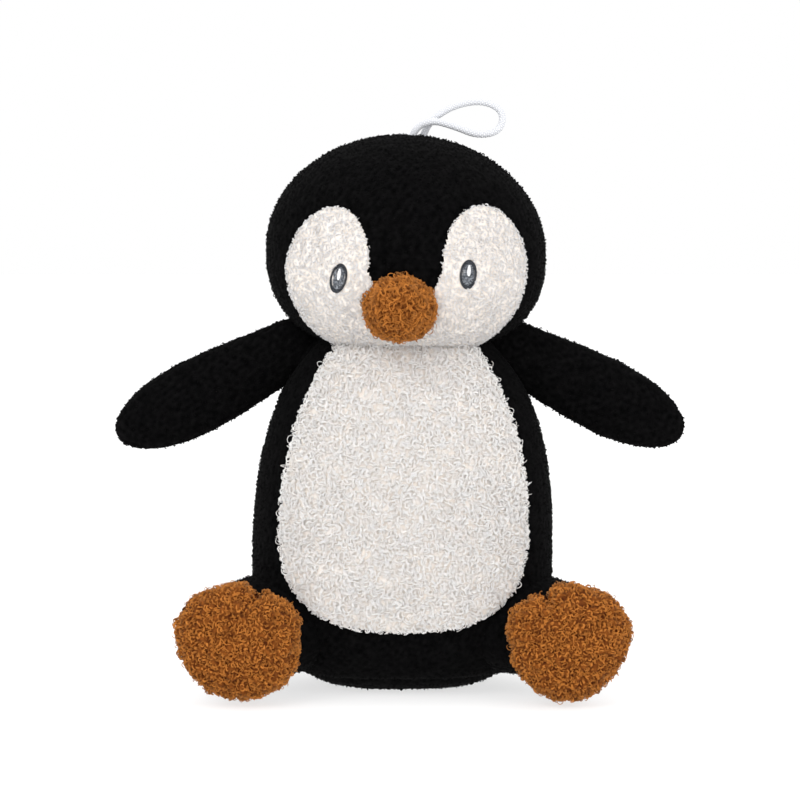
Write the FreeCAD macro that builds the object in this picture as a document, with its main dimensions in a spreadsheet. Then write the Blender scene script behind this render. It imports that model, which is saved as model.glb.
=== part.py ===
"""Plush penguin, sewn from pile fabric panels over loose fibre filling.

Millimetres. +Z is up, the toy faces -Y, and left and right are the toy's own: its left side is +X.
The origin is the centre of the flat underside. Each cover panel is a thin shell round a filling piece.
"""
import FreeCAD, Part
import math
import os

DIMENSIONS = [
    # covers
    ("cover_thickness", 3.4),
    ("small_cover_thickness", 2.4),
    ("filling_gap", 0.25),
    ("seam_gap", 0.3),
    ("joint_gap", 1.0),
    # head
    ("head_half_width", 63),
    ("head_half_depth", 54),
    ("head_half_height", 52),
    ("head_centre_height", 196.5),
    # white face: two lobes joined by a chin band
    ("lobe_half_width", 22.5),
    ("lobe_half_height", 28),
    ("lobe_offset", 30.5),
    ("lobe_height", 190),
    ("chin_half_width", 47),
    ("chin_half_height", 19),
    ("chin_height", 171),
    # beak and eyes
    ("beak_radius", 17),
    ("beak_half_length", 21),
    ("beak_height", 175),
    ("beak_forward", 46),
    ("eye_half_width", 3.8),
    ("eye_half_height", 6.3),
    ("eye_spacing", 28.5),
    ("eye_height", 187.5),
    ("thread_thickness", 0.8),
    ("glint_half_width", 0.9),
    ("glint_half_height", 2.3),
    ("glint_rise", 1.5),
    # torso
    ("torso_half_width", 67),
    ("torso_half_depth", 52),
    ("torso_half_height", 88),
    ("torso_centre_height", 80),
    ("yoke_half_width", 52),
    ("yoke_half_depth", 26),
    ("yoke_half_height", 22),
    ("yoke_height", 146),
    ("belly_half_width", 57),
    ("belly_half_height", 63),
    ("belly_height", 92),
    ("base_panel_height", 9),
    # neck filling
    ("neck_radius", 17),
    ("neck_bottom", 122),
    # wings
    ("wing_half_length", 40),
    ("wing_half_width", 17.5),
    ("wing_half_thickness", 8.5),
    ("wing_centre_out", 92),
    ("wing_centre_height", 132),
    ("wing_droop", 24.5),
    # legs and feet
    ("leg_radius", 23),
    ("leg_height", 27),
    ("ankle_out", 73),
    ("ankle_forward", 30),
    ("hip_out", 30),
    ("hip_forward", 3),
    ("foot_forward", 56.5),
    ("foot_half_thickness", 11),
    # hanging loop
    ("cord_diameter", 3.4),
    ("knot_radius", 4.5),
]

SIDES = (("left", 1), ("right", -1))

# The plump lobes of a foot: centre out sideways and up, half width, half height, and share of the foot's thickness.
FOOT_LOBES = (
    ("pad", 71, 25, 25, 22.5, 1.0),
    ("big_toe", 77, 36, 18.5, 19, 0.92),
    ("small_toe", 57, 31.5, 14.5, 17, 0.86),
)

# The cord's route: out of the crown seam, over to the toy's left, round and back to the seam.
CORD_ROUTE = [
    (4.0, -1.7, 240.5),
    (5.2, -2.0, 250.0),
    (14.0, -2.8, 254.6),
    (24.4, -3.4, 251.6),
    (34.9, -3.0, 247.4),
    (45.0, -0.8, 249.6),
    (46.4, 1.4, 258.6),
    (37.6, 2.6, 263.2),
    (26.4, 3.0, 261.8),
    (16.8, 2.8, 257.0),
    (10.4, 2.2, 249.8),
    (8.6, 1.7, 240.5),
]

doc = FreeCAD.newDocument("PlushPenguin")
sizes = doc.addObject("Spreadsheet::Sheet", "Sizes")


def fill_sheet():
    """Write the driving dimensions into the sheet, one alias per row."""
    for row, (alias, value) in enumerate(DIMENSIONS, 1):
        sizes.set(f"A{row}", alias)
        sizes.set(f"B{row}", str(value))
        sizes.setAlias(f"B{row}", alias)
    doc.recompute()


def size(alias):
    """The value of one cell, for shapes that are worked out in code."""
    return float(sizes.get(alias))


def cell(expression):
    """Turn bare aliases in an expression into references to the sheet."""
    words = []
    for word in expression.replace("(", "( ").replace(")", " )").split():
        words.append("Sizes." + word if word.replace("_", "").isalpha() and len(word) > 3 else word)
    return " ".join(words)


def place(feature, out="0", across="0", up="0", turn=None):
    """Bind a feature's position to the sheet; turn is a fixed (axis, degrees) pair."""
    if turn:
        axis, degrees = turn
        feature.Placement = FreeCAD.Placement(FreeCAD.Vector(), FreeCAD.Rotation(FreeCAD.Vector(*axis), degrees))
    for letter, expression in zip("xyz", (out, across, up)):
        feature.setExpression(f"Placement.Base.{letter}", cell(expression))
    return feature


def ellipsoid(name, radii, **where):
    """An ellipsoid with half sizes (x, y, z) given as sheet expressions."""
    feature = doc.addObject("Part::Ellipsoid", name)
    feature.Angle1 = -90
    feature.Angle2 = 90
    for prop, expression in zip(("Radius2", "Radius3", "Radius1"), radii):
        feature.setExpression(prop, cell(expression))
    return place(feature, **where)


def block(name, low, high):
    """A box between two corners, used to divide covers into panels."""
    feature = doc.addObject("Part::Box", name)
    feature.Length, feature.Width, feature.Height = [b - a for a, b in zip(low, high)]
    feature.Placement.Base = FreeCAD.Vector(*low)
    return feature


def cut(name, base, *tools):
    """Take every tool away from the base."""
    for number, tool in enumerate(tools, 1):
        feature = doc.addObject("Part::Cut", name if number == len(tools) else f"{name}_{number}")
        feature.Base = base
        feature.Tool = tool
        feature.Refine = False
        base = feature
    return base


def common(name, *shapes):
    feature = doc.addObject("Part::MultiCommon", name)
    feature.Shapes = list(shapes)
    feature.Refine = False
    return feature


def fuse(name, *shapes):
    feature = doc.addObject("Part::MultiFuse", name)
    feature.Shapes = list(shapes)
    feature.Refine = False
    return feature


pieces = []


def mirrored(name, source):
    """The same solid on the toy's other side."""
    feature = doc.addObject("Part::Mirroring", name)
    feature.Source = source
    feature.Normal = FreeCAD.Vector(1, 0, 0)
    return feature


def piece(feature, label):
    """Name a finished sub-part."""
    feature.Label = label
    pieces.append(feature)
    return feature


FAR = 400


def make_dividers():
    """Half and quarter spaces that split covers along the side and centre seams."""
    return {
        "front": block("FrontHalf", (-FAR, -FAR, -FAR), (FAR, 0, FAR)),
        "front_left": block("FrontLeft", (0, -FAR, -FAR), (FAR, 0, FAR)),
        "front_right": block("FrontRight", (-FAR, -FAR, -FAR), (0, 0, FAR)),
        "back_left": block("BackLeft", (0, 0, -FAR), (FAR, FAR, FAR)),
        "back_right": block("BackRight", (-FAR, 0, -FAR), (0, FAR, FAR)),
        "above_floor": block("AboveFloor", (-FAR, -FAR, 0), (FAR, FAR, FAR)),
    }


def head_form(name, grow):
    """The head's ellipsoid, grown or shrunk all round."""
    radii = [f"head_half_{side} + {grow}" for side in ("width", "depth", "height")]
    return ellipsoid(name, radii, up="head_centre_height")


def face_form(name, grow):
    """The white face's region: two lobes and the chin band, as deep ellipsoids that cut the head's front."""
    lobes = [
        ellipsoid(
            f"{name}_lobe_{side}",
            (f"lobe_half_width + {grow}", "head_half_depth * 2", f"lobe_half_height + {grow}"),
            out=f"lobe_offset * {sign}", across="- head_half_depth", up="lobe_height",
        )
        for side, sign in SIDES
    ]
    chin = ellipsoid(
        f"{name}_chin",
        (f"chin_half_width + {grow}", "head_half_depth * 2", f"chin_half_height + {grow}"),
        across="- head_half_depth", up="chin_height",
    )
    return fuse(name, *lobes, chin)


def beak_form(name, grow):
    """The beak's blunt egg, pointing forward."""
    radii = [f"beak_radius + {grow}", f"beak_half_length + {grow}", f"beak_radius - 1 + {grow}"]
    return ellipsoid(name, radii, across="- beak_forward", up="beak_height")


def make_head(dividers):
    """Head covers, face, beak and head filling."""
    outer = head_form("HeadOuter", "0")
    inner = head_form("HeadInner", "- cover_thickness")
    shell = cut("HeadShell", outer, inner)
    front = common("HeadFrontShell", shell, dividers["front"])
    socket = beak_form("BeakSocket", "filling_gap")
    face = common("FaceRegion", front, face_form("Face", "0"))
    piece(cut("FacePatch", face, socket), "face_patch")
    crown = cut("HeadCrown", front, face_form("FaceCut", "seam_gap"), socket)
    piece(crown, "head_front")
    for side in ("left", "right"):
        piece(common(f"HeadBack_{side}", shell, dividers[f"back_{side}"]), f"head_back_{side}")

    beak_outer = beak_form("BeakOuter", "0")
    beak_inner = beak_form("BeakInner", "- small_cover_thickness")
    behind = head_form("BehindBeak", "- cover_thickness")
    piece(cut("BeakCover", beak_outer, beak_inner, behind), "beak_cover")
    beak_core = beak_form("BeakCore", "- small_cover_thickness - filling_gap")
    piece(cut("BeakFilling", beak_core, head_form("BeakBack", "- cover_thickness")), "beak_stuffing")

    knot_room = knot_form("KnotRoom", "filling_gap")
    filling = head_form("HeadCore", "- cover_thickness - filling_gap")
    piece(cut("HeadFilling", filling, knot_room), "head_stuffing")
    piece(knot_form("Knot", "0"), "hang_loop_knot")


def knot_form(name, grow):
    """The overhand knot that stops the loop's two ends inside the crown."""
    x, y, z = CORD_ROUTE[0]
    feature = doc.addObject("Part::Sphere", name)
    feature.setExpression("Radius", cell(f"knot_radius + {grow}"))
    middle = (x + CORD_ROUTE[-1][0]) / 2
    feature.Placement.Base = FreeCAD.Vector(middle, (y + CORD_ROUTE[-1][1]) / 2, z - size("knot_radius") + 1)
    return feature


def stitched_patch(label, half_width, half_height, out, up, base, thickness):
    """A thin oval of thread that follows the head's surface, standing `base` above it."""
    outer = head_form(f"{label}_outer", f"{base} + {thickness}")
    inner = head_form(f"{label}_inner", base)
    oval = ellipsoid(
        f"{label}_oval", (half_width, "head_half_depth", half_height),
        out=out, across="- head_half_depth", up=up,
    )
    piece(cut(label.title(), common(f"{label}_plate", outer, oval), inner), label)


def make_eyes():
    """Embroidered eyes, each with a small white glint on top."""
    for side, sign in SIDES:
        out = f"eye_spacing * {sign}"
        stitched_patch(
            f"eye_{side}", "eye_half_width", "eye_half_height", out, "eye_height",
            "filling_gap", "thread_thickness",
        )
        stitched_patch(
            f"eye_{side}_highlight", "glint_half_width", "glint_half_height", out,
            "eye_height + glint_rise", "filling_gap * 2 + thread_thickness", "thread_thickness",
        )


def torso_form(name, grow):
    """The torso's egg with its shoulder yoke, grown or shrunk all round, cut flat underneath."""
    egg = ellipsoid(
        f"{name}_egg", [f"torso_half_{side} + {grow}" for side in ("width", "depth", "height")],
        up="torso_centre_height",
    )
    yoke = ellipsoid(
        f"{name}_yoke", [f"yoke_half_{side} + {grow}" for side in ("width", "depth", "height")],
        up="yoke_height",
    )
    return fuse(name, egg, yoke)


def head_room(name, grow):
    """The space the head sweeps as it turns: as wide front to back as it is across."""
    radii = [f"head_half_width + {grow}", f"head_half_width + {grow}", f"head_half_height + {grow}"]
    return ellipsoid(name, radii, up="head_centre_height")


def belly_form(name, grow):
    radii = (f"belly_half_width + {grow}", "torso_half_depth * 3", f"belly_half_height + {grow}")
    return ellipsoid(name, radii, across="- torso_half_depth", up="belly_height")


def neck_form(name, grow):
    """The wad of filling that fills the neck opening, a short round plug."""
    feature = doc.addObject("Part::Cylinder", name)
    feature.setExpression("Radius", cell(f"neck_radius + {grow}"))
    feature.setExpression("Height", cell("head_centre_height - neck_bottom"))
    return place(feature, up=f"neck_bottom - {grow}")


def make_torso(dividers):
    """Torso covers, belly, base panel, torso filling and neck filling."""
    base_top = size("base_panel_height")
    below_base = block("BaseZone", (-FAR, -FAR, -FAR), (FAR, FAR, base_top))
    above_base = block("OverBase", (-FAR, -FAR, base_top), (FAR, FAR, FAR))
    floor_gap = size("cover_thickness")
    above_lining = block("AboveLining", (-FAR, -FAR, floor_gap), (FAR, FAR, FAR))
    above_filling = block("AboveFilling", (-FAR, -FAR, floor_gap + size("filling_gap")), (FAR, FAR, FAR))
    neck_hole = neck_form("NeckHole", "joint_gap")

    standing = common("TorsoStanding", torso_form("TorsoForm", "0"), dividers["above_floor"])
    outer = cut("TorsoOuter", standing, head_room("CoverHeadRoom", "joint_gap"))
    lining = common("TorsoLining", torso_form("TorsoLiningForm", "- cover_thickness"), above_lining)
    shell = cut("TorsoShell", outer, lining)
    piece(common("BasePanel", shell, below_base), "base_panel")

    upper_shell = common("TorsoUpperShell", shell, above_base)
    belly = common("BellyRegion", upper_shell, belly_form("Belly", "0"))
    piece(common("BellyPatch", belly, dividers["front"]), "belly_patch")
    around_belly = cut("AroundBelly", upper_shell, belly_form("BellyCut", "seam_gap"))
    for side in ("left", "right"):
        piece(common(f"TorsoSide_{side}", around_belly, dividers[f"front_{side}"]), f"torso_side_{side}")
        piece(common(f"TorsoBack_{side}", upper_shell, dividers[f"back_{side}"]), f"torso_back_{side}")

    core = torso_form("TorsoCore", "- cover_thickness - filling_gap")
    filling = common("TorsoFillingForm", core, above_filling)
    filling = cut("TorsoFilling", filling, head_room("FillingHeadRoom", "joint_gap"), neck_hole)
    piece(filling, "torso_stuffing")
    neck = cut("NeckFilling", neck_form("NeckPlug", "0"), head_room("NeckHeadRoom", "joint_gap"))
    piece(neck, "neck_stuffing")


def wing_form(name, sign, grow):
    """A flat leaf that droops outward from the shoulder."""
    radii = [f"wing_half_{side} + {grow}" for side in ("length", "thickness", "width")]
    return ellipsoid(
        name, radii, out=f"wing_centre_out * {sign}", up="wing_centre_height",
        turn=((0, 1, 0), size("wing_droop") * sign),
    )


def make_wings(dividers):
    """Two flippers, each a front and a back panel over filling."""
    back_half = fuse("BackHalf", dividers["back_left"], dividers["back_right"])
    for side, sign in SIDES:
        outer = wing_form(f"WingOuter_{side}", sign, "0")
        inner = wing_form(f"WingInner_{side}", sign, "- small_cover_thickness")
        shell = cut(f"WingShell_{side}", outer, inner)
        piece(common(f"WingFront_{side}", shell, dividers["front"]), f"wing_{side}_front")
        piece(common(f"WingBack_{side}", shell, back_half), f"wing_{side}_back")
        filling = wing_form(f"WingFilling_{side}", sign, "- small_cover_thickness - filling_gap")
        piece(filling, f"wing_{side}_stuffing")


def leg_form(name, sign, grow):
    """A round-ended stub from the hip to the ankle."""
    hip = FreeCAD.Vector(size("hip_out") * sign, -size("hip_forward"), size("leg_height"))
    ankle = FreeCAD.Vector(size("ankle_out") * sign, -size("ankle_forward"), size("leg_height"))
    shaft = doc.addObject("Part::Cylinder", f"{name}_shaft")
    shaft.setExpression("Radius", cell(f"leg_radius + {grow}"))
    shaft.Height = (ankle - hip).Length
    shaft.Placement = FreeCAD.Placement(hip, FreeCAD.Rotation(FreeCAD.Vector(0, 0, 1), ankle - hip))
    return fuse(name, shaft, ankle_ball(f"{name}_ball", sign, grow))


def ankle_ball(name, sign, grow):
    ball = doc.addObject("Part::Sphere", name)
    ball.setExpression("Radius", cell(f"leg_radius + {grow}"))
    return place(ball, out=f"ankle_out * {sign}", across="- ankle_forward", up="leg_height")


def make_legs():
    """Short leg stubs sewn to the torso's lower sides."""
    for side, sign in SIDES:
        outer = leg_form(f"LegOuter_{side}", sign, "0")
        inner = leg_form(f"LegInner_{side}", sign, "- small_cover_thickness")
        torso = torso_form(f"LegTorsoRoom_{side}", "filling_gap")
        piece(cut(f"LegCover_{side}", outer, inner, torso), f"leg_{side}_cover")
        core = leg_form(f"LegCore_{side}", sign, "- small_cover_thickness - filling_gap")
        torso = torso_form(f"LegFillingRoom_{side}", "filling_gap")
        piece(cut(f"LegFilling_{side}", core, torso), f"leg_{side}_stuffing")


def foot_form(name, grow):
    """An upright puffy paw: a round pad under a big and a small toe with a notch between them."""
    lobes = []
    for lobe, out, up, half_width, half_height, share in FOOT_LOBES:
        lobes.append(
            ellipsoid(
                f"{name}_{lobe}",
                (f"{half_width} + {grow}", f"foot_half_thickness * {share} + {grow}", f"{half_height} + {grow}"),
                out=f"{out}", across="- foot_forward", up=f"{up}",
            )
        )
    return fuse(name, *lobes)


def make_feet(dividers):
    """Feet with a sole in front, an upper behind and filling between, hollowed behind for the ankle."""
    split = -size("foot_forward")
    ahead = block("SoleZone", (-FAR, -FAR, -FAR), (FAR, split, FAR))
    behind = block("UpperZone", (-FAR, split, -FAR), (FAR, FAR, FAR))
    outer = common("FootOuter", foot_form("FootForm", "0"), dividers["above_floor"])
    inner = foot_form("FootInner", "- small_cover_thickness")
    shell = cut("FootShell", outer, inner, ankle_ball("AnkleRoom", 1, "joint_gap"))
    core = foot_form("FootCore", "- small_cover_thickness - filling_gap")
    parts = {
        "sole": common("FootSole", shell, ahead),
        "upper": common("FootUpper", shell, behind),
        "stuffing": cut("FootFilling", core, ankle_ball("FillingAnkleRoom", 1, "joint_gap")),
    }
    for part, feature in parts.items():
        piece(feature, f"foot_left_{part}")
        piece(mirrored(f"FootMirror_{part}", feature), f"foot_right_{part}")


def cord_path(points):
    """Straight runs joined by tangent arcs, each arc as large as its two runs allow."""
    points = [FreeCAD.Vector(*p) for p in points]
    edges = []
    radii = []
    start = points[0]
    for before, corner, after in zip(points, points[1:], points[2:]):
        into = (corner - before).normalize()
        away = (after - corner).normalize()
        turn = into.getAngle(away)
        tangent = 0.45 * min((corner - before).Length, (after - corner).Length)
        radii.append(tangent / math.tan(turn / 2))
        first = corner - into * tangent
        last = corner + away * tangent
        bend = (away - into).normalize()
        middle = corner + bend * (radii[-1] / math.cos(turn / 2) - radii[-1])
        edges.append(Part.LineSegment(start, first).toShape())
        edges.append(Part.Arc(first, middle, last).toShape())
        start = last
    edges.append(Part.LineSegment(start, points[-1]).toShape())
    return Part.Wire(edges), radii


def make_loop():
    """The hanging loop: one round cord along its route."""
    wire, radii = cord_path(CORD_ROUTE)
    first = FreeCAD.Vector(*CORD_ROUTE[0])
    heading = FreeCAD.Vector(*CORD_ROUTE[1]) - first
    radius = size("cord_diameter") / 2
    ring = Part.Wire(Part.makeCircle(radius, first, heading))
    loop = doc.addObject("Part::Feature", "HangLoop")
    loop.Shape = wire.makePipeShell([ring], True, False)
    piece(loop, "hang_loop")
    print("cord length", round(wire.Length, 1), "radii", [round(r, 1) for r in radii])
    print("cord volume", round(loop.Shape.Volume, 1), "expected", round(math.pi * radius ** 2 * wire.Length, 1))


def export_pieces():
    """Check every object, then write one STEP file for each sub-part."""
    doc.recompute()
    for feature in doc.Objects:
        if "Invalid" in feature.State or "Error" in feature.State:
            raise RuntimeError(f"{feature.Label} failed: {feature.State}")
    for feature in pieces:
        if feature.Shape.isNull() or not feature.Shape.isValid() or not feature.Shape.Solids:
            raise RuntimeError(f"{feature.Label} has no valid solid")
    os.makedirs("parts", exist_ok=True)
    for feature in pieces:
        feature.Shape.exportStep(f"parts/{feature.Label}.step")
        box = feature.Shape.BoundBox
        print(
            f"{feature.Label:24s} solids {len(feature.Shape.Solids)} volume {feature.Shape.Volume:10.1f}"
            f"  x {box.XMin:7.1f} {box.XMax:7.1f}  y {box.YMin:7.1f} {box.YMax:7.1f}  z {box.ZMin:7.1f} {box.ZMax:7.1f}"
        )


fill_sheet()
halves = make_dividers()
make_head(halves)
make_eyes()
make_torso(halves)
make_wings(halves)
make_legs()
make_feet(halves)
make_loop()
export_pieces()
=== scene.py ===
"""Plush penguin: pile fabric covers, looped boucle patches, embroidered eyes and a cord loop.

Everything is in metres in the row frame. The toy faces -Y, and its own left side is +X.
Each cover is a closed surface built from a formula; pile is thousands of small yarn loops on it.
"""
import math

import bpy
import numpy as np
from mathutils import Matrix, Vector


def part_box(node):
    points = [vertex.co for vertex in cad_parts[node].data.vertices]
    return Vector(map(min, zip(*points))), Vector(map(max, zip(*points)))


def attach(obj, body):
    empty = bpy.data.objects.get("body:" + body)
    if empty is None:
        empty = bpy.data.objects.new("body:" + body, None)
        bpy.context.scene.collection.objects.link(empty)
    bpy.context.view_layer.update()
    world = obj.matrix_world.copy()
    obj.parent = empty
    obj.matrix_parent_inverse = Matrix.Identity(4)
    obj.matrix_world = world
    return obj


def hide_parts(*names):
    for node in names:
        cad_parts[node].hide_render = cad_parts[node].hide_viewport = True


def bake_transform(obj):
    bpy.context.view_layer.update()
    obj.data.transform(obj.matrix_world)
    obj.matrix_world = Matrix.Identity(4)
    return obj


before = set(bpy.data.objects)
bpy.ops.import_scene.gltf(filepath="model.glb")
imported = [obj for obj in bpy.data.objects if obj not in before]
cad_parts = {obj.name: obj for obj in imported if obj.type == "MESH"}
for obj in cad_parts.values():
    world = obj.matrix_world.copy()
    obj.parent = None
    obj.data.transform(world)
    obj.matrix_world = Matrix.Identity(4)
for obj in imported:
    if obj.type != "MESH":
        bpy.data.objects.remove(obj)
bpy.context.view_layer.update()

MM = 0.001
SIDES = (("left", 1), ("right", -1))


# ---------------------------------------------------------------- places taken from the frame

def span(*nodes):
    """Lowest and highest corner of several CAD nodes together, as numpy arrays."""
    boxes = [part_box(node) for node in nodes]
    low = np.min([np.array(b[0]) for b in boxes], axis=0)
    high = np.max([np.array(b[1]) for b in boxes], axis=0)
    return low, high


HEAD_ASIDE = 2.6 * MM       # how far the head stands to the toy's left
TORSO_WAIST = 62 * MM       # height of the torso's widest ring
TORSO_UP = 109 * MM         # the torso's half height above that ring
TORSO_DOWN = 62.5 * MM      # and below it, before the flat base cuts it off

head_low, head_high = span("head_front", "head_back_left", "head_back_right")
head_centre = (head_low + head_high) / 2 + np.array([HEAD_ASIDE, 0, 0])
head_half = (head_high - head_low) / 2
_, torso_high = span("torso_side_left", "torso_side_right", "torso_back_left", "torso_back_right")
torso_centre = np.array([0, 0, TORSO_WAIST])
torso_half = np.array([torso_high[0], torso_high[1], TORSO_UP])
beak_low, beak_high = span("beak_cover")


# ---------------------------------------------------------------- small shape tools

def smooth(low, high, value):
    """0 below low, 1 above high and an even curve between."""
    t = np.clip((value - low) / (high - low), 0, 1)
    return t * t * (3 - 2 * t)


def bell(value, width):
    """1 at a value of 0, falling away smoothly over about one width."""
    return np.exp(-(value / width) ** 2)


def ripple(points, wavelength, seed, waves=40):
    """An even random field from plane waves of about one wavelength, from about -1 to 1."""
    rng = np.random.default_rng(seed)
    directions = rng.normal(size=(waves, 3))
    directions /= np.linalg.norm(directions, axis=1)[:, None]
    lengths = wavelength * rng.uniform(0.75, 1.3, waves)
    phases = rng.uniform(0, 2 * math.pi, waves)
    field = np.zeros(len(points))
    for direction, length, phase in zip(directions, lengths, phases):
        field += np.cos(points @ direction * (2 * math.pi / length) + phase)
    return field / math.sqrt(waves) * 0.7


def ball_grid(count):
    """Unit directions and quads of a cube-sphere with count cells along each cube edge."""
    steps = np.tan(np.linspace(-math.pi / 4, math.pi / 4, count + 1))
    u, v = np.meshgrid(steps, steps, indexing="ij")
    one = np.ones_like(u)
    sheets = [(one, u, v), (-one, v, u), (v, one, u), (u, -one, v), (u, v, one), (v, u, -one)]
    corners = np.concatenate([np.stack(s, axis=-1).reshape(-1, 3) for s in sheets])
    corners /= np.linalg.norm(corners, axis=1)[:, None]
    row = np.arange(count)[:, None] * (count + 1) + np.arange(count)[None, :]
    row = row.reshape(-1)
    quads = np.stack([row, row + count + 1, row + count + 2, row + 1], axis=1)
    faces = np.concatenate([quads + sheet * (count + 1) ** 2 for sheet in range(6)])
    keys = np.round(corners * 1e6).astype(np.int64)
    _, first, back = np.unique(keys, axis=0, return_index=True, return_inverse=True)
    return corners[first], back.reshape(-1)[faces]


def normals_of(points, faces):
    """Even vertex normals of a quad mesh."""
    a, b = points[faces[:, 2]] - points[faces[:, 0]], points[faces[:, 3]] - points[faces[:, 1]]
    cross = np.cross(a, b)
    normals = np.zeros_like(points)
    for corner in range(4):
        np.add.at(normals, faces[:, corner], cross)
    return normals / np.maximum(np.linalg.norm(normals, axis=1)[:, None], 1e-12)


def mesh_object(name, points, faces, material, normals=None, shade=None):
    """A mesh object from numpy arrays; faces is one array or a list of arrays."""
    groups = faces if isinstance(faces, list) else [faces]
    mesh = bpy.data.meshes.new(name)
    loops = np.concatenate([g.reshape(-1) for g in groups]).astype(np.int32)
    totals = np.concatenate([np.full(len(g), g.shape[1]) for g in groups]).astype(np.int32)
    starts = np.concatenate([[0], np.cumsum(totals)[:-1]]).astype(np.int32)
    mesh.vertices.add(len(points))
    mesh.vertices.foreach_set("co", np.asarray(points, np.float32).reshape(-1))
    mesh.loops.add(len(loops))
    mesh.loops.foreach_set("vertex_index", loops)
    mesh.polygons.add(len(totals))
    mesh.polygons.foreach_set("loop_start", starts)
    mesh.polygons.foreach_set("use_smooth", np.ones(len(totals), bool))
    mesh.update(calc_edges=True)
    if shade is not None:
        tone = mesh.attributes.new("shade", "FLOAT", "POINT")
        tone.data.foreach_set("value", np.asarray(shade, np.float32))
    if normals is not None:
        mesh.normals_split_custom_set_from_vertices(normals.tolist())
    mesh.materials.append(material)
    piece = bpy.data.objects.new(name, mesh)
    bpy.context.scene.collection.objects.link(piece)
    return piece


# ---------------------------------------------------------------- yarn loops

def scatter(points, faces, normals, spacing, seed, keep=None):
    """Seeded places on a surface, no two nearer than spacing. keep(points) says where they may be."""
    rng = np.random.default_rng(seed)
    a, b, c, d = (points[faces[:, i]] for i in range(4))
    area = np.linalg.norm(np.cross(c - a, d - b), axis=1) / 2
    wanted = int(area.sum() / spacing ** 2 * 2.6)
    chosen = rng.choice(len(faces), wanted, p=area / area.sum())
    s, t = rng.random((2, wanted, 1))
    weights = ((1 - s) * (1 - t), s * (1 - t), s * t, (1 - s) * t)
    spots = sum(w * corner[chosen] for w, corner in zip(weights, (a, b, c, d)))
    ups = sum(w * normals[faces[chosen, i]] for i, w in enumerate(weights))
    if keep is not None:
        inside = keep(spots)
        spots, ups = spots[inside], ups[inside]
    taken = {}
    kept = []
    cells = np.floor(spots / spacing).astype(int)
    places = spots.tolist()
    limit = spacing ** 2
    near = [(i, j, k) for i in (-1, 0, 1) for j in (-1, 0, 1) for k in (-1, 0, 1)]
    for index, (x, y, z) in enumerate(cells.tolist()):
        px, py, pz = places[index]
        free = True
        for i, j, k in near:
            other = taken.get((x + i, y + j, z + k))
            if other is None:
                continue
            qx, qy, qz = places[other]
            if (px - qx) ** 2 + (py - qy) ** 2 + (pz - qz) ** 2 < limit:
                free = False
                break
        if free:
            taken[(x, y, z)] = index
            kept.append(index)
    ups = ups[kept] / np.linalg.norm(ups[kept], axis=1)[:, None]
    return spots[kept], ups


def yarn_loops(spots, ups, ring, thickness, seed, turns, steps, lift, strands, spread=0.45):
    """Curled tufts of thin strands, one tuft at each spot: points, faces, normals and a 0 to 1 shade, each
    tuft's random tone plus painted shade low in the pile.
    """
    soft = 0.35             # how much of a strand's own roundness its normals show
    sizes = (0.65, 1.3)     # smallest and largest tuft, as shares of ring
    rng = np.random.default_rng(seed)
    tufts = len(spots)
    sideways = rng.normal(size=(tufts, 3))
    sideways -= (sideways * ups).sum(1)[:, None] * ups
    sideways /= np.linalg.norm(sideways, axis=1)[:, None]
    axis = sideways + ups * rng.uniform(-0.5, 0.9, (tufts, 1))
    axis /= np.linalg.norm(axis, axis=1)[:, None]
    size = ring * rng.uniform(*sizes, (tufts, 1))
    total = rng.uniform(*turns, (tufts, 1)) * 2 * math.pi
    start = rng.uniform(0, 2 * math.pi, (tufts, 1))
    lean = rng.uniform(-1.1, 1.1, (tufts, 1))
    tone = rng.uniform(0.15, 0.75, (tufts, 1))

    def each(values):
        return np.repeat(values, strands, axis=0)

    count = tufts * strands
    of_tufts = (spots, ups, axis, size, total, start, lean, tone)
    spots, ups, axis, size, total, start, lean, tone = map(each, of_tufts)
    size = size * rng.uniform(0.85, 1.15, (count, 1))
    start = start + rng.uniform(-0.35, 0.35, (count, 1))
    spots = spots + axis * size * rng.uniform(-spread, spread, (count, 1))
    first = np.cross(axis, ups)
    first /= np.linalg.norm(first, axis=1)[:, None]
    second = np.cross(axis, first)
    along = np.linspace(0, 1, steps + 1)[None, :]
    angle = start + total * along
    grow = size * (0.7 + 0.45 * along)
    path = (
        (spots + ups * size * lift)[:, None, :]
        + first[:, None, :] * (grow * np.cos(angle))[:, :, None]
        + second[:, None, :] * (grow * np.sin(angle))[:, :, None]
        + axis[:, None, :] * (size * lean * (along - 0.5))[:, :, None]
    )
    out = first[:, None, :] * np.cos(angle)[:, :, None] + second[:, None, :] * np.sin(angle)[:, :, None]
    taper = 0.45 + 0.55 * np.sqrt(np.sin(np.pi * np.clip(along * 0.9 + 0.06, 0, 1)))
    girth = thickness * rng.uniform(0.8, 1.2, (count, 1)) * taper
    height = ((path - spots[:, None, :]) * ups[:, None, :]).sum(2) / (ring * (1 + lift))
    # shade: each tuft's random tone plus painted shade, darker the lower a strand lies towards the cloth and
    # lighter the higher it stands
    shade = np.clip(tone + 0.35 * np.clip(height, -0.6, 1), 0, 1)
    rings, normals = [], []
    for side in range(3):
        turn = 2 * math.pi * side / 3
        offset = out * math.cos(turn) + axis[:, None, :] * math.sin(turn)
        rings.append(path + offset * girth[:, :, None])
        normals.append(offset * soft + ups[:, None, :] * (1 - soft))
    points = np.stack(rings, axis=2).reshape(-1, 3)
    normals = np.stack(normals, axis=2).reshape(-1, 3)
    normals /= np.maximum(np.linalg.norm(normals, axis=1)[:, None], 1e-9)
    index = np.arange(count * (steps + 1) * 3).reshape(count, steps + 1, 3)
    walls = []
    for side in range(3):
        one, two = index[:, :, side], index[:, :, (side + 1) % 3]
        walls.append(np.stack([one[:, :-1], one[:, 1:], two[:, 1:], two[:, :-1]], axis=-1))
    faces = [np.concatenate(walls).reshape(-1, 4), np.concatenate([index[:, 0, :], index[:, -1, ::-1]])]
    return points, faces, normals, np.repeat(shade.reshape(-1), 3)


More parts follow.
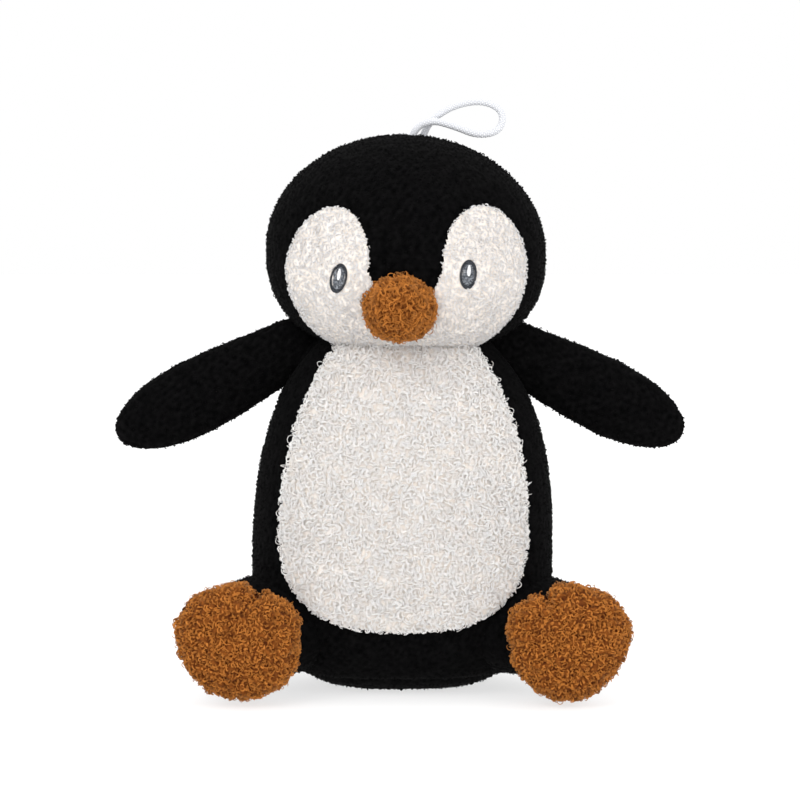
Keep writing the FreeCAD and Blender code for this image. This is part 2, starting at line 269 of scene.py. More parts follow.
def joined(parts):
    """Several (points, [faces], ...) sets as one; anything after the faces is one value per point."""
    offsets = np.cumsum([0] + [len(part[0]) for part in parts])
    faces = [group + offset for part, offset in zip(parts, offsets) for group in part[1]]
    more = [np.concatenate([part[i] for part in parts]) for i in range(2, len(parts[0]))]
    return (np.concatenate([part[0] for part in parts]), faces, *more)


# ---------------------------------------------------------------- materials

def fabric(name, dark, light, scale, roughness=0.9, sheen=0.3, sheen_tint=(1, 1, 1), bump=0.3, through=0.0,
           by_yarn=0.0, specular=0.2):
    """Yarn colour between two shades, with a fine fibre bump and a soft sheen.

    by_yarn is how much of the colour comes from the mesh's shade attribute and not from its place: that
    attribute is painted shade, with each tuft's random tone on pile. through is how much light passes into the
    yarn.
    """
    material = bpy.data.materials.new(name)
    material.use_nodes = True
    nodes, links = material.node_tree.nodes, material.node_tree.links
    shader = nodes["Principled BSDF"]
    place = nodes.new("ShaderNodeTexCoord")
    drift = nodes.new("ShaderNodeTexNoise")
    drift.inputs["Scale"].default_value = scale
    drift.inputs["Detail"].default_value = 4
    ramp = nodes.new("ShaderNodeValToRGB")
    ramp.color_ramp.elements[0].position = 0.36 - 0.2 * by_yarn
    ramp.color_ramp.elements[0].color = (*dark, 1)
    ramp.color_ramp.elements[1].position = 0.66 + 0.2 * by_yarn
    ramp.color_ramp.elements[1].color = (*light, 1)
    fibre = nodes.new("ShaderNodeTexNoise")
    fibre.inputs["Scale"].default_value = scale * 6
    fibre.inputs["Detail"].default_value = 2
    height = nodes.new("ShaderNodeBump")
    height.inputs["Strength"].default_value = bump
    height.inputs["Distance"].default_value = 0.3 * MM
    for texture in (drift, fibre):
        links.new(place.outputs["Object"], texture.inputs["Vector"])
    # The shade attribute brings painted shade, and on pile each tuft's random tone, into the colour.
    yarn = nodes.new("ShaderNodeAttribute")
    yarn.attribute_name = "shade"
    mix = nodes.new("ShaderNodeMix")
    mix.inputs["Factor"].default_value = by_yarn
    links.new(drift.outputs["Fac"], mix.inputs["A"])
    links.new(yarn.outputs["Fac"], mix.inputs["B"])
    links.new(mix.outputs["Result"], ramp.inputs["Fac"])
    links.new(ramp.outputs["Color"], shader.inputs["Base Color"])
    links.new(fibre.outputs["Fac"], height.inputs["Height"])
    links.new(height.outputs["Normal"], shader.inputs["Normal"])
    shader.inputs["Roughness"].default_value = roughness
    shader.inputs["Specular IOR Level"].default_value = specular
    shader.inputs["Sheen Weight"].default_value = sheen
    shader.inputs["Sheen Roughness"].default_value = 0.5
    shader.inputs["Sheen Tint"].default_value = (*sheen_tint, 1)
    shader.inputs["Subsurface Weight"].default_value = through
    shader.inputs["Subsurface Radius"].default_value = (1, 0.8, 0.6)
    shader.inputs["Subsurface Scale"].default_value = 2 * MM
    return material


# Through by_yarn, the black's darker end is partly painted shade low in the nap and in the pebbles' hollows.
BLACK = fabric(
    "black_pile", (0.001, 0.001, 0.0011), (0.0042, 0.004, 0.0042), 260,
    sheen=0.01, bump=0.4, by_yarn=0.4, specular=0.02)
# The white piles' warm darker ends are painted shade low in and between the loops, with each tuft's random
# tone.
WHITE = fabric(
    "white_loops", (0.91, 0.845, 0.785), (0.95, 0.93, 0.905), 190,
    sheen=0.05, bump=0.15, by_yarn=0.6, through=0.2)
FACE = fabric(
    "white_short_loops", (0.775, 0.73, 0.695), (0.805, 0.785, 0.775), 190,
    sheen=0.05, bump=0.15, by_yarn=0.6, through=0.2)
# The white backing is darker and warmer than the pile, as painted shade in the gaps between the loops.
SHADED_CREAM_BACKING = fabric("white_backing_painted_shade", (0.84, 0.76, 0.68), (0.90, 0.85, 0.80), 240, sheen=0.05, bump=0.4)
# The orange pile's dark red end is painted shade in the gaps and low in the loops, with each tuft's random
# tone.
ORANGE = fabric(
    "orange_loops", (0.11, 0.022, 0.0015), (0.55, 0.195, 0.034), 170,
    sheen=0.12, sheen_tint=(1, 0.75, 0.45), bump=0.2, by_yarn=0.7, specular=0.15)
# The orange backing is much darker than the pile as painted shade in the gaps between the loops; its shade
# attribute darkens the pebbles' hollows too.
SHADED_ORANGE_BACKING = fabric(
    "orange_backing_painted_shade", (0.09, 0.020, 0.002), (0.26, 0.075, 0.009), 240,
    sheen=0.02, bump=0.5, by_yarn=0.7)
SLATE = fabric(
    "eye_thread", (0.03, 0.034, 0.042), (0.30, 0.32, 0.35), 1300,
    roughness=0.8, sheen=0.1, bump=0.2)
RIM = fabric(
    "eye_rim_thread", (0.012, 0.014, 0.018), (0.05, 0.055, 0.065), 1300,
    roughness=0.7, sheen=0.1, bump=0.2)
GLINT = fabric(
    "white_thread", (0.85, 0.85, 0.85), (0.95, 0.95, 0.95), 900,
    roughness=0.4, sheen=0.1, bump=0.2)
# The cord is white; its dark grey end is painted shade for the braid's gaps.
CORD = fabric(
    "loop_cord", (0.34, 0.35, 0.38), (0.86, 0.87, 0.90), 500,
    roughness=0.7, sheen=0.05, bump=0.3, by_yarn=0.92)
FIBRE = fabric("filling_fibre", (0.75, 0.75, 0.74), (0.88, 0.88, 0.87), 120, sheen=0.1, bump=0.6)


# ---------------------------------------------------------------- camera, first

VIEW_WIDTH = 360 * MM      # what the camera takes in at the toy's middle plane
DISTANCE = 1.35
SENSOR = 36                # millimetres, as a camera's data has it
TILT = math.radians(4.5)   # the camera looks down by this much
aim = Vector((0, 0, 0.129))

camera_data = bpy.data.cameras.new("camera")
camera_data.sensor_width = SENSOR
camera_data.lens = SENSOR * DISTANCE / VIEW_WIDTH
camera = bpy.data.objects.new("camera", camera_data)
camera.location = aim + Vector((0, -math.cos(TILT), math.sin(TILT))) * DISTANCE
camera.rotation_euler = (aim - camera.location).to_track_quat("-Z", "Y").to_euler()
bpy.context.scene.collection.objects.link(camera)
bpy.context.scene.camera = camera


# ---------------------------------------------------------------- hanging loop

CORD_DIAMETER = 3.4 * MM
BRAID_TURN = 10.5 * MM      # length of cord in which a strand goes once round
BRAID_STRANDS = 6           # each way
BRAID_RELIEF = 0.20         # depth of the gaps between strands, as a share of the radius
CORD_ROUTE = [
    (4.0, -1.7, 240.5),
    (5.2, -2.0, 250.0),
    (14.0, -2.8, 254.6),
    (24.4, -3.4, 251.6),
    (34.9, -3.0, 247.4),
    (45.0, -0.8, 249.6),
    (46.4, 1.4, 258.6),
    (37.6, 2.6, 263.2),
    (26.4, 3.0, 261.8),
    (16.8, 2.8, 257.0),
    (10.4, 2.2, 249.8),
    (8.6, 1.7, 240.5),
]


def make_loop():
    """The cord's line is a smooth spline; its braid is two crossing sets of strands that follow it, with
    painted shade in the gaps between them.
    """
    curve = bpy.data.curves.new("hang_loop_line", "CURVE")
    curve.dimensions = "3D"
    curve.resolution_u = 24
    spline = curve.splines.new("NURBS")
    spline.points.add(len(CORD_ROUTE) - 1)
    for point, place in zip(spline.points, CORD_ROUTE):
        point.co = (*[value * MM for value in place], 1)
    spline.order_u = 3
    spline.use_endpoint_u = True
    line = bpy.data.objects.new("hang_loop_line", curve)
    bpy.context.scene.collection.objects.link(line)
    centre = np.array([v.co for v in bpy.data.meshes.new_from_object(line).vertices], float)
    bpy.data.objects.remove(line)

    gaps = np.linalg.norm(np.diff(centre, axis=0), axis=1)
    reach = np.concatenate([[0], np.cumsum(gaps)])
    count = 640     # rings along the cord
    stations = np.linspace(0, reach[-1], count)
    path = np.stack([np.interp(stations, reach, centre[:, i]) for i in range(3)], axis=1)
    tangent = np.gradient(path, axis=0)
    tangent /= np.linalg.norm(tangent, axis=1)[:, None]
    across = np.cross(tangent, np.array([0, 1.0, 0]))
    across /= np.linalg.norm(across, axis=1)[:, None]
    beside = np.cross(tangent, across)

    sides = 48
    turn = np.arange(sides) / sides * 2 * math.pi
    twist = stations / BRAID_TURN * 2 * math.pi
    one = np.cos(BRAID_STRANDS * (turn[None, :] + twist[:, None]))
    two = np.cos(BRAID_STRANDS * (turn[None, :] - twist[:, None]))
    braid = np.sqrt(np.clip(0.5 + 0.25 * (one - two), 0, 1)) * 0.5 + 0.5 * np.abs(one - two) / 2
    radius = CORD_DIAMETER / 2 * (1 - BRAID_RELIEF + BRAID_RELIEF * braid)
    ring = across[:, None, :] * np.cos(turn)[None, :, None] + beside[:, None, :] * np.sin(turn)[None, :, None]
    points = (path[:, None, :] + ring * radius[:, :, None]).reshape(-1, 3)
    index = np.arange(count * sides).reshape(count, sides)
    after = np.roll(index, -1, axis=1)
    walls = np.stack([index[:-1], after[:-1], after[1:], index[1:]], axis=-1).reshape(-1, 4)
    faces = [walls, index[:1, ::-1], index[-1:, :]]
    # Painted shade: the cord is darker grey in the braid's gaps and white on the strands' crowns.
    shade = np.clip(braid * 1.5 - 0.15, 0, 1).reshape(-1)
    loop = mesh_object("hang_loop_braid", points, faces, CORD, shade=shade)
    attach(loop, "head")
    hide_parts("hang_loop")


def tube(path, across, beside, radii, sides):
    """A closed round tube along a path, given the two directions across it at each point."""
    count = len(path)
    rings = []
    for side in range(sides):
        turn = 2 * math.pi * side / sides
        rings.append(path + (across * math.cos(turn) + beside * math.sin(turn)) * radii[:, None])
    points = np.stack(rings, axis=1)
    index = np.arange(count * sides).reshape(count, sides)
    walls = []
    for side in range(sides):
        one, two = index[:, side], index[:, (side + 1) % sides]
        walls.append(np.stack([one[:-1], two[:-1], two[1:], one[1:]], axis=-1))
    return points.reshape(-1, 3), [np.concatenate(walls), index[:1, ::-1], index[-1:, :]]


# ---------------------------------------------------------------- cover shapes

def super_ball(directions, half, power):
    """Points of a superellipsoid in the given directions."""
    size = (np.abs(directions / half) ** power[:, None]).sum(1) ** (1 / power)
    return directions / size[:, None]


def head_points(directions):
    """A round crown over fuller cheeks and a flatter chin, leaning a little."""
    pile_room, chin_rise, lean = 0.6 * MM, 0.105, 0.028
    low = smooth(0.15, -0.35, directions[:, 2])
    half = (head_half - pile_room)[None, :].repeat(len(directions), 0)
    half[:, 2] *= 1 - chin_rise * low
    points = super_ball(directions, half, 2 + 0.5 * low)
    points[:, 0] -= lean * points[:, 2]
    return points + head_centre


def torso_points(directions):
    """An egg, widest low down, that leans a little to the toy's left and sits flat."""
    low = smooth(0.1, -0.3, directions[:, 2])
    half = (torso_half + np.array([0.3, -0.7, 0]) * MM)[None, :].repeat(len(directions), 0)
    half[:, 2] = half[:, 2] * (1 - low) + TORSO_DOWN * low
    points = super_ball(directions, half, 2.3 + 0.5 * low) + torso_centre
    points[:, 0] += 1.0 * MM + 0.9 * MM * smooth(50 * MM, 120 * MM, points[:, 2])
    points[:, 2] = np.maximum(points[:, 2], 0.4 * MM)
    return points


LOBE_HEIGHT = 189       # millimetres, as all the outlines' numbers are
FACE_LOBES = ((-31.7, 0.13, 18.3, 27.7), (36.7, -0.05, 18.7, 28.2))  # middle, lean, half width, half height
PEAK_SIDES = (-12.9, 17.5)
PEAK_TIP = 174


def face_edge(points):
    """Below 1 inside the white face: two tall lobes over a wide chin, with the black peak between them."""
    x, z = points[:, 0] / MM, points[:, 2] / MM
    rise = z - LOBE_HEIGHT
    lobes = [
        ((x - middle - lean * rise) / wide) ** 2 + (rise / tall) ** 2
        for middle, lean, wide, tall in FACE_LOBES
    ]
    chin = np.abs((x - 2.8) / 53) ** 2.1 + np.abs(rise / 42) ** 2
    narrow = 0.45 * np.clip(188 - z, 0, 12)
    peak = 1 + np.minimum(np.minimum(x - PEAK_SIDES[0], PEAK_SIDES[1] - x) - narrow, z - PEAK_TIP) / 10
    return np.where(rise > 0, np.minimum(*lobes), np.maximum(chin, peak))


def belly_edge(points):
    """Below 1 inside the belly patch: an upright egg whose narrow end runs up under the chin."""
    waist, half_width, half_up, half_down = 75, 54.3, 97, 44.0
    x, z = points[:, 0] / MM, points[:, 2] / MM
    up = z > waist
    power = np.where(up, 2.0, 2.6)
    half_height = np.where(up, half_up, half_down)
    middle = 1.5 + 0.8 * smooth(waist, 110, z)
    return np.abs((x - middle) / half_width) ** power + np.abs((z - waist) / half_height) ** power


def groove(distance):
    """Depth of a seam at a distance from its line."""
    return 0.9 * MM * bell(distance, 1.1 * MM)


def cover(count, shape, pebble, seed, seams=None, grain=3.0, lumps=11):
    """A closed pile surface with pebbles and seams: points, [faces], normals and shade, a painted shade darker
    in the fine pebbles' hollows.

    pebble is the pebbles' height, and grain and lumps are the sizes in millimetres of the fine and coarse ones.
    """
    directions, faces = ball_grid(count)
    points = shape(directions)
    normals = normals_of(points, faces)
    fine = ripple(points, grain * MM, seed)
    height = fine * pebble + ripple(points, lumps * MM, seed + 1) * pebble * 0.8
    if seams is not None:
        height -= seams(points)
    points = points + normals * height[:, None]
    # The shade returned is painted shade: lighter on the fine pebbles' tops, darker in their hollows.
    return points, [faces], normals_of(points, faces), np.clip(0.45 + 0.45 * fine, 0, 1)


def part_of(surface, inside, lift, edge):
    """The front part of a surface where inside(points) < 1, standing proud of it, with its rim tucked in."""
    points, (faces,), normals, shade = surface
    value = inside(points)
    ahead = (points[faces][:, :, 1] < 0).all(axis=1)
    faces = faces[(value[faces] < 1).all(axis=1) & ahead]
    old = np.unique(faces)
    back = np.full(len(points), -1)
    back[old] = np.arange(len(old))
    rise = lift * (1 - smooth(1 - edge, 1.0, value[old])) - 0.6 * MM * smooth(1 - edge * 0.4, 1.0, value[old])
    return points[old] + normals[old] * rise[:, None], [back[faces]], normals[old], shade[old]


PEBBLE = 0.22 * MM      # height of the pebbles in the black fabric

# Kinds of pile, as yarn_loops takes them
NAP = dict(turns=(0.5, 0.9), steps=4, lift=0.1, strands=1)      # the short black pile
SHORT = dict(turns=(0.8, 1.4), steps=6, lift=0.3, strands=2)    # the face's white pile
CURLS = dict(turns=(1.1, 1.7), steps=8, lift=0.5, strands=3, spread=0.6)    # the belly's long white pile
TIGHT = dict(turns=(1.0, 1.6), steps=7, lift=0.5, strands=2)    # the feet's and beak's tighter pile
STRAY = dict(turns=(0.7, 1.3), steps=9, lift=0.9, strands=1)    # single loops that stand out of the pile


def tufts_on(surface, spacing, ring, thickness, seed, keep=None, **kind):
    """Tufts scattered on a surface; ring is a tuft's radius, and thickness a strand's."""
    points, (faces,), normals, _ = surface
    spots, ups = scatter(points, faces, normals, spacing, seed, keep)
    return yarn_loops(spots, ups, ring, thickness, seed + 7, **kind)


def piece_of(name, parts, material, body, replaced=()):
    """One piece from surfaces and tufts, riding on its body when it has one, with the CAD nodes it replaces
    hidden.
    """
    points, faces, normals, shade = joined(parts)
    piece = mesh_object(name, points, faces, material, normals, shade)
    if body:
        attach(piece, body)
    if replaced:
        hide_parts(*replaced)
    return piece


def nap_on(surface, spacing, seed, keep=None):
    """The short black pile on a surface."""
    return tufts_on(surface, spacing, 0.45 * MM, 0.33 * MM, seed, keep, **NAP)


def nap_of(body, surface, spacing, seed, bare):
    """The black pile of a body's cover, its front and its back as two pieces."""
    for part, keep in (("front", lambda p: p[:, 1] < 0), ("back", lambda p: p[:, 1] >= 0)):
        here = lambda p, keep=keep: bare(p) & keep(p)
        piece_of(f"{body}_nap_{part}", [nap_on(surface, spacing, seed, here)], BLACK, body)


# ---------------------------------------------------------------- head

def head_seams(points):
    """Shallow grooves along the side seam and the centre back seam."""
    x, y = points[:, 0], points[:, 1]
    return groove(y - 1 * MM) + groove(x - head_centre[0]) * (y > 0)


# Each eye's middle, and how much it leans
EYES = {
    "left": (np.array([28.8, 0, 187.6]) * MM, 0.05),
    "right": (np.array([-25.9, 0, 186.0]) * MM, 0.16),
}
EYE_HALF = (3.3 * MM, 5.6 * MM)
GLINT_HALF = (0.95 * MM, 2.3 * MM)
GLINT_OFFSET = np.array([0.3, 0, 1.7]) * MM
EYE_MARGIN = 1.0 * MM


def clear_of_eyes(points):
    """True away from the embroidered eyes."""
    clear = np.ones(len(points), bool)
    for middle, lean in EYES.values():
        rise = points[:, 2] - middle[2]
        reach = ((points[:, 0] - middle[0] - lean * rise) / (EYE_HALF[0] + EYE_MARGIN)) ** 2
        clear &= reach + (rise / (EYE_HALF[1] + EYE_MARGIN)) ** 2 > 1
    return clear


def make_head():
    """The black cover and its nap, and the white face."""
    surface = cover(110, head_points, PEBBLE, 11, head_seams)
    bare = lambda p: (face_edge(p) > 0.9) | (p[:, 1] > 0)
    piece_of("head_cover", [surface], BLACK, "head",
             ("head_front", "head_back_left", "head_back_right", "head_stuffing"))
    nap_of("head", surface, 1.5 * MM, 21, bare)
    patch = part_of(surface, face_edge, 1.3 * MM, 0.12)
    piece_of("face_cloth", [patch], SHADED_CREAM_BACKING, "head", ("face_patch",))
    for part, keep in (("left", lambda p: p[:, 0] >= 0), ("right", lambda p: p[:, 0] < 0)):
        here = lambda p, keep=keep: keep(p) & clear_of_eyes(p)
        curls = tufts_on(patch, 1.0 * MM, 0.68 * MM, 0.2 * MM, 31, here, **SHORT)
        piece_of(f"face_pile_{part}", [curls], FACE, "head")


def on_face(x, z, rise):
    """A point on the head's front surface at (x, z), standing proud by rise."""
    low, high = 0.0, 80 * MM
    target = np.array([x - head_centre[0], 0, z - head_centre[2]])
    for _ in range(40):
        depth = (low + high) / 2
        probe = target - np.array([0, depth, 0])
        direction = probe / np.linalg.norm(probe)
        surface = head_points(direction[None, :])[0] - head_centre
        if np.linalg.norm(surface) > np.linalg.norm(probe):
            low = depth
        else:
            high = depth
    normal = probe / head_half ** 2
    return head_centre + probe + normal / np.linalg.norm(normal) * rise


def thread(path, girth):
    """A round thread along a path on the face."""
    tangent = np.gradient(path, axis=0)
    tangent /= np.linalg.norm(tangent, axis=1)[:, None]
    up = np.cross(tangent, np.array([0, -1.0, 0]))
    up /= np.linalg.norm(up, axis=1)[:, None]
    return tube(path, up, np.cross(up, tangent), girth, 6)


def stitched_oval(middle, half, lean, rise, pitch, drop=0.0):
    """Satin stitch: rows of thread across an oval, pointed by drop at its top, that follow the face."""
    rows = max(5, int(2 * half[1] / pitch))
    rng = np.random.default_rng(rows)
    parts = []
    for row in range(rows):
        v = -1 + 2 * (row + 0.5) / rows
        reach = half[0] * math.sqrt(max(0.03, 1 - v * v)) * (1 - drop * (v + 1) / 2) * rng.uniform(0.96, 1.04)
        path = []
        for x in np.linspace(-reach, reach, 9):
            arch = 0.3 * MM * (1 - (x / reach) ** 2)
            path.append(on_face(middle[0] + x + lean * v * half[1], middle[2] + v * half[1], rise + arch))
        parts.append(thread(np.array(path), pitch * 0.62 * np.array([0.5, 0.9, 1, 1, 1, 1, 1, 0.9, 0.5])))
    return parts


def stitched_rim(middle, half, lean, rise, pitch):
    """Short stitches side by side round an oval's edge."""
    count = int(2 * math.pi * (half[0] + half[1]) / 2 / pitch)
    parts = []
    for step in range(count):
        turn = 2 * math.pi * step / count
        path = []
        for share in (0.84, 0.93, 1.02, 1.1):
            slant = turn + 0.25 * (share - 0.9)
            v = math.sin(slant) * half[1] * share
            x = math.cos(slant) * half[0] * share
            arch = (0.25 - 2 * abs(share - 0.97)) * MM
            path.append(on_face(middle[0] + x + lean * v, middle[2] + v, rise + arch))
        parts.append(thread(np.array(path), pitch * 0.6 * np.array([0.7, 1, 1, 0.7])))
    return parts


def make_eyes():
    """Each eye is an oval of satin stitch, a dark rim and a white glint."""
    for side, sign in SIDES:
        middle, lean = EYES[side]
        oval = joined(stitched_oval(middle, EYE_HALF, lean, 1.15 * MM, 0.5 * MM))
        piece = mesh_object(f"eye_{side}_stitches", *oval, SLATE)
        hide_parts(f"eye_{side}")
        edge = joined(stitched_rim(middle, EYE_HALF, lean, 1.75 * MM, 0.42 * MM))
        rim = mesh_object(f"eye_{side}_rim", *edge, RIM)
        high = middle + GLINT_OFFSET
        drop = joined(stitched_oval(high, GLINT_HALF, lean, 1.75 * MM, 0.4 * MM, 0.35))
        glint = mesh_object(f"eye_{side}_glint", *drop, GLINT)
        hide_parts(f"eye_{side}_highlight")
        for each, slot in ((piece, "eye_thread"), (rim, "eye_thread"), (glint, "white_thread")):
            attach(each, "head")


def beak_points(directions):
    """A plump blunt egg, narrower in front and at the top."""
    middle = np.array([-0.1 * MM, (beak_low[1] + beak_high[1]) / 2, 173.0 * MM])
    half = np.array([14.5 * MM, (beak_high[1] - beak_low[1]) / 2, 13.3 * MM])
    points = super_ball(directions, half[None, :].repeat(len(directions), 0), np.full(len(directions), 2.15))
    front = smooth(0, 1, -directions[:, 1])
    points[:, 0] *= 1 - 0.10 * front
    points[:, 2] *= 1 - 0.10 * front
    points[:, 0] *= 1 - 0.12 * smooth(0.2, 1, points[:, 2] / half[2])
    return points + middle


def make_beak():
    """The beak's cloth and its pile, which stops where the beak goes into the face."""
    surface = cover(44, beak_points, 0.7 * MM, 41, grain=3.8, lumps=8)
    piece_of("beak_cloth", [surface], SHADED_ORANGE_BACKING, "head", ("beak_cover", "beak_stuffing"))
    outside = lambda p: p[:, 1] < beak_low[1] + 27 * MM
    well_outside = lambda p: p[:, 1] < beak_low[1] + 24 * MM
    curls = tufts_on(surface, 0.95 * MM, 1.1 * MM, 0.22 * MM, 43, outside, **TIGHT)
    stray = tufts_on(surface, 2.6 * MM, 1.35 * MM, 0.2 * MM, 44, well_outside, **STRAY)
    piece_of("beak_pile", [curls, stray], ORANGE, "head")


# ---------------------------------------------------------------- torso

def torso_seams(points):
    """Shallow grooves down both sides and the back, and round the base panel."""
    x, y, z = points[:, 0], points[:, 1], points[:, 2]
    side = groove(y) * (z > 8 * MM)
    back = groove(x - 1 * MM) * (y > 0)
    base = 0.8 * MM * bell(z - 7 * MM, 1.2 * MM)
    return side + back + base


def shoulder_points(directions):
    """The yoke that fills the shoulders between the wings, under the head."""
    half = np.array([51, 21, 18]) * MM
    return super_ball(directions, half[None, :], np.full(len(directions), 2.1)) + np.array([1, 1, 145.5]) * MM


def make_torso():
    """The black cover and its nap, the shoulders' yoke and the white belly."""
    surface = cover(110, torso_points, PEBBLE, 51, torso_seams)

    def bare(p):
        white = (belly_edge(p) < 0.9) & (p[:, 1] < 0)
        return ~white & (p[:, 2] > 1.2 * MM) & (p[:, 2] < 163 * MM)

    panels = ("torso_side_left", "torso_side_right", "torso_back_left", "torso_back_right", "base_panel")
    piece_of("torso_cover", [surface], BLACK, "torso", (*panels, "torso_stuffing"))
    nap_of("torso", surface, 1.6 * MM, 61, bare)
    yoke = cover(44, shoulder_points, PEBBLE, 56)
    piece_of("shoulder_cover", [yoke, nap_on(yoke, 1.7 * MM, 57)], BLACK, "torso", ())
    patch = part_of(surface, belly_edge, 1.8 * MM, 0.12)
    piece_of("belly_cloth", [patch], SHADED_CREAM_BACKING, "torso", ("belly_patch",))
    bands = (28, 50, 70, 91, 114, 158)      # heights that split the pile into pieces of about the same size
    for number, (low, high) in enumerate(zip(bands, bands[1:])):
        keep = lambda p: (p[:, 2] >= low * MM * (number > 0)) & (p[:, 2] < high * MM)
        curls = tufts_on(patch, 1.25 * MM, 1.1 * MM, 0.185 * MM, 71, keep, **CURLS)
        stray = tufts_on(patch, 3.6 * MM, 1.7 * MM, 0.16 * MM, 72, keep, **STRAY)
        piece_of(f"belly_pile_{number + 1}", [curls, stray], WHITE, "torso")


# ---------------------------------------------------------------- wings

def wing_points(sign):
    """A plump leaf from inside the shoulder, drooping outward, widest past the middle."""
    root = np.array([36 * sign, 0, 159.3]) * MM
    tip = np.array([127.3 * sign, 0, 112.9 + 0.4 * sign]) * MM
    length = np.linalg.norm(tip - root)
    out = (tip - root) / length
    up = np.array([-out[2] * sign, 0, out[0] * sign])

    def shape(directions):
        s = 0.5 + 0.5 * directions[:, 0] * sign
        around = np.maximum(np.hypot(directions[:, 1], directions[:, 2]), 1e-9)
        rim = np.sqrt(np.clip(1 - np.clip((s - 0.60) / 0.40, 0, 1) ** 2.2, 0, 1))
        root_rim = np.sqrt(np.clip(1 - np.clip((0.14 - s) / 0.14, 0, 1) ** 2, 0, 1))
        width = 17.0 * MM * (1 - 0.26 * smooth(0.62, 0.0, s)) * rim * root_rim
        thick = 10.5 * MM * (1 - 0.12 * smooth(0.5, 0.0, s)) * rim ** 0.9 * root_rim
        place = root + out * (s * length)[:, None]
        place = place + up * (directions[:, 2] / around * width - 0.3 * MM * np.sin(np.pi * s))[:, None]
        place[:, 1] += directions[:, 1] / around * thick
        return place

    return shape


def wing_seam(points):
    """A shallow groove round the wing's edge."""
    return 0.8 * MM * bell(points[:, 1], 0.9 * MM)


def make_wings():
    """Each wing is one piece of cover and nap, baked in place and put on no body."""
    for side, sign in SIDES:
        surface = cover(72, wing_points(sign), PEBBLE, 81 + sign, wing_seam)
        nap = nap_on(surface, 1.6 * MM, 91 + sign)
        piece = piece_of(f"wing_{side}_cover", [surface, nap], BLACK, None,
                         (f"wing_{side}_front", f"wing_{side}_back", f"wing_{side}_stuffing"))
        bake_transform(piece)


# ---------------------------------------------------------------- legs and feet

def leg_points(sign):
    """A plump round-ended stub from the hip to the back of the foot."""
    middle = np.array([56 * sign, -20, 30.5]) * MM
    half = np.array([30, 30, 21.8]) * MM

    def shape(directions):
        return super_ball(directions, half[None, :], np.full(len(directions), 2.2)) + middle

    return shape


# Where a foot's outline swells or draws in: angle up from outward and width in degrees, then height in
# millimetres, and how much of it is added on the toy's left foot and taken off on its right
FOOT_BUMPS = (
    (17, 30, 2.3, 0),
    (42, 18, 1.3, 0),
    (62, 14, -0.3, 0),
    (130, 16, -1.4, 0),
    (185, 20, -0.42, -0.42),
    (186, 18, -2.0, 0),
    (218, 25, -0.75, -1.15),
    (285, 30, 0.75, 0.25),
    (325, 25, -0.6, -0.6),
)
FOOT_RIM = 25.1             # the outline's mean radius, in millimetres
FOOT_FORWARD = -56 * MM     # the foot's middle plane
FOOT_HALF_THICKNESS = 12.5 * MM


def foot_points(sign):
    """A puffy upright paw, widest above its middle, with a deep toe notch and a faint one."""
    middle = np.array([(71.0 + 0.6 * sign) * sign * MM, FOOT_FORWARD, 28.4 * MM])

    def notch(angle, place, width):
        return bell((angle - place + 180) % 360 - 180, width)

    def shape(directions):
        around = np.hypot(directions[:, 0], directions[:, 2])
        angle = np.degrees(np.arctan2(directions[:, 2], directions[:, 0] * sign))
        turn = np.radians(angle)
        rim = FOOT_RIM + (0.9 - 0.8 * sign) * np.cos(turn - math.radians(165)) + 0.8 * np.cos(2 * turn)
        for place, width, height, more in FOOT_BUMPS:
            rim += (height + more * sign) * notch(angle, place, width)
        deep = 4.4 * notch(angle, 112, 9) + 0.9 * notch(angle, 34, 9)
        tall = np.abs(directions[:, 1])
        flat = (around ** 2.5 + tall ** 2.5) ** (-1 / 2.5)
        reach = around * flat
        radius = (rim - deep * smooth(0.35, 0.95, reach)) * reach / np.maximum(around, 1e-9) * MM
        front = directions[:, 1] * flat * FOOT_HALF_THICKNESS
        trough = deep * 0.55 * MM * smooth(0.4, 0.85, reach)
        depth = front - np.sign(front) * trough
        points = np.stack([directions[:, 0] * radius, depth, directions[:, 2] * radius], axis=1) + middle
        points[:, 2] = np.maximum(points[:, 2], 0.6 * MM)
        return points

    return shape


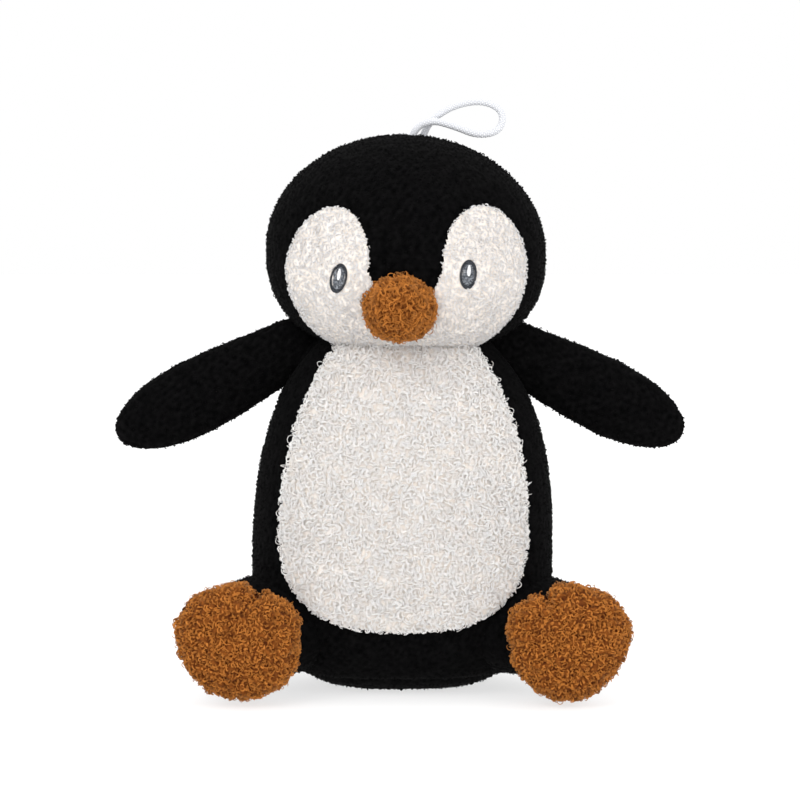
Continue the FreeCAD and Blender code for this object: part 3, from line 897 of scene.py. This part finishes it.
def make_legs_and_feet():
    """Black leg stubs on the torso, and orange feet that flex on them."""
    for side, sign in SIDES:
        surface = cover(48, leg_points(sign), PEBBLE, 101 + sign)
        nap = nap_on(surface, 1.7 * MM, 111 + sign)
        piece_of(f"leg_{side}_skin", [surface, nap], BLACK, "torso",
                 (f"leg_{side}_cover", f"leg_{side}_stuffing"))
        surface = cover(64, foot_points(sign), 0.85 * MM, 121 + sign, grain=4.2, lumps=9)
        body = f"foot_{side}"
        piece_of(f"{body}_cloth", [surface], SHADED_ORANGE_BACKING, body,
                 (f"{body}_sole", f"{body}_upper", f"{body}_stuffing"))
        for part, ahead in (("front", True), ("back", False)):
            above = lambda p, ahead=ahead: ((p[:, 1] < FOOT_FORWARD) == ahead) & (p[:, 2] > 1.5 * MM)
            curls = tufts_on(surface, 1.08 * MM, 0.8 * MM, 0.23 * MM, 131 + sign, above, **TIGHT)
            stray = tufts_on(surface, 3.4 * MM, 1.1 * MM, 0.2 * MM, 141 + sign, above, **STRAY)
            piece_of(f"{body}_pile_{part}", [curls, stray], ORANGE, body)


make_loop()
make_head()
make_eyes()
make_beak()
make_torso()
make_wings()
make_legs_and_feet()

# The filling and the cord's knot keep their CAD shapes, in plain materials.
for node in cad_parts.values():
    if node.name.endswith("stuffing") or node.name == "hang_loop_knot":
        node.data.materials.clear()
        node.data.materials.append(CORD if node.name == "hang_loop_knot" else FIBRE)


# ---------------------------------------------------------------- floor and light

LAMP_SIZE = 1.0


def make_stage():
    """A pale floor that glows a little, so that it meets the background unseen, and soft studio light."""
    floor_material = bpy.data.materials.new("floor")
    floor_material.use_nodes = True
    shader = floor_material.node_tree.nodes["Principled BSDF"]
    shader.inputs["Base Color"].default_value = (0.4, 0.4, 0.4, 1)
    shader.inputs["Emission Color"].default_value = (1, 1, 1, 1)
    shader.inputs["Emission Strength"].default_value = 0.68
    shader.inputs["Roughness"].default_value = 0.8
    shader.inputs["Specular IOR Level"].default_value = 0.1
    points = np.array([(-4, -3, 0), (4, -3, 0), (4, 5, 0), (-4, 5, 0)], float)
    floor = mesh_object("floor", points, np.array([[0, 1, 2, 3]]), floor_material)

    world = bpy.data.worlds.new("studio")
    world.use_nodes = True
    world.node_tree.nodes["Background"].inputs["Color"].default_value = (1, 1, 1, 1)
    world.node_tree.nodes["Background"].inputs["Strength"].default_value = 1.0
    bpy.context.scene.world = world

    for name, place, power in (
        ("key", (-0.7, -1.2, 1.0), 8.5),
        ("fill", (0.9, -1.1, 0.6), 5),
        ("top", (0.1, 0.3, 1.5), 4),
    ):
        light = bpy.data.lights.new(name, "AREA")
        light.size = LAMP_SIZE
        light.energy = power
        lamp = bpy.data.objects.new(name, light)
        lamp.location = place
        lamp.rotation_euler = (Vector((0, 0, 0.12)) - Vector(place)).to_track_quat("-Z", "Y").to_euler()
        bpy.context.scene.collection.objects.link(lamp)


make_stage()
bpy.context.scene.view_settings.view_transform = "Standard"
